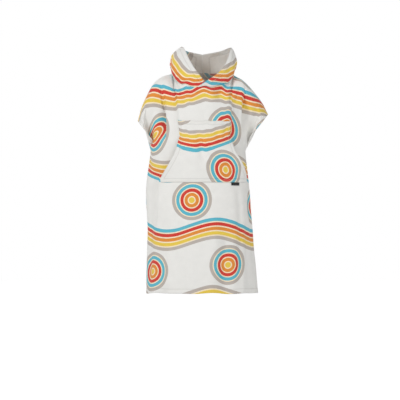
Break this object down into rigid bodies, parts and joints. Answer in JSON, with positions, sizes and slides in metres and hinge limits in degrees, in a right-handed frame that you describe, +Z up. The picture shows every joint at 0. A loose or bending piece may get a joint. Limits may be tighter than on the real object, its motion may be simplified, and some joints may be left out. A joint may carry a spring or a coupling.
{
  "type": "hooded bath poncho",
  "caption": "Hooded bath poncho in worn, hollow form: straight body cut in one with short wide sleeves, hood half down behind the neck, kangaroo pocket with slanted mouths.",
  "frame": {"origin": "between the shoulders at the foot of the neck, where the wearer's shoulders hold the poncho up", "axes": "+X to the wearer's left, which is the right of the picture, front faces -Y, +Z up"},
  "size_m": [0.6, 0.3743, 1.1379],
  "materials": {
    "towelling": "soft matt towelling, off-white with bands of blue, red, orange, yellow and taupe",
    "label_tape": "woven black tape, blank"
  },
  "bodies": {
    "root": {"front": "towelling", "back": "towelling", "hood_right_half": "towelling", "hood_left_half": "towelling", "pocket": "towelling", "label_tab": "label_tape"}
  },
  "joints": []
}
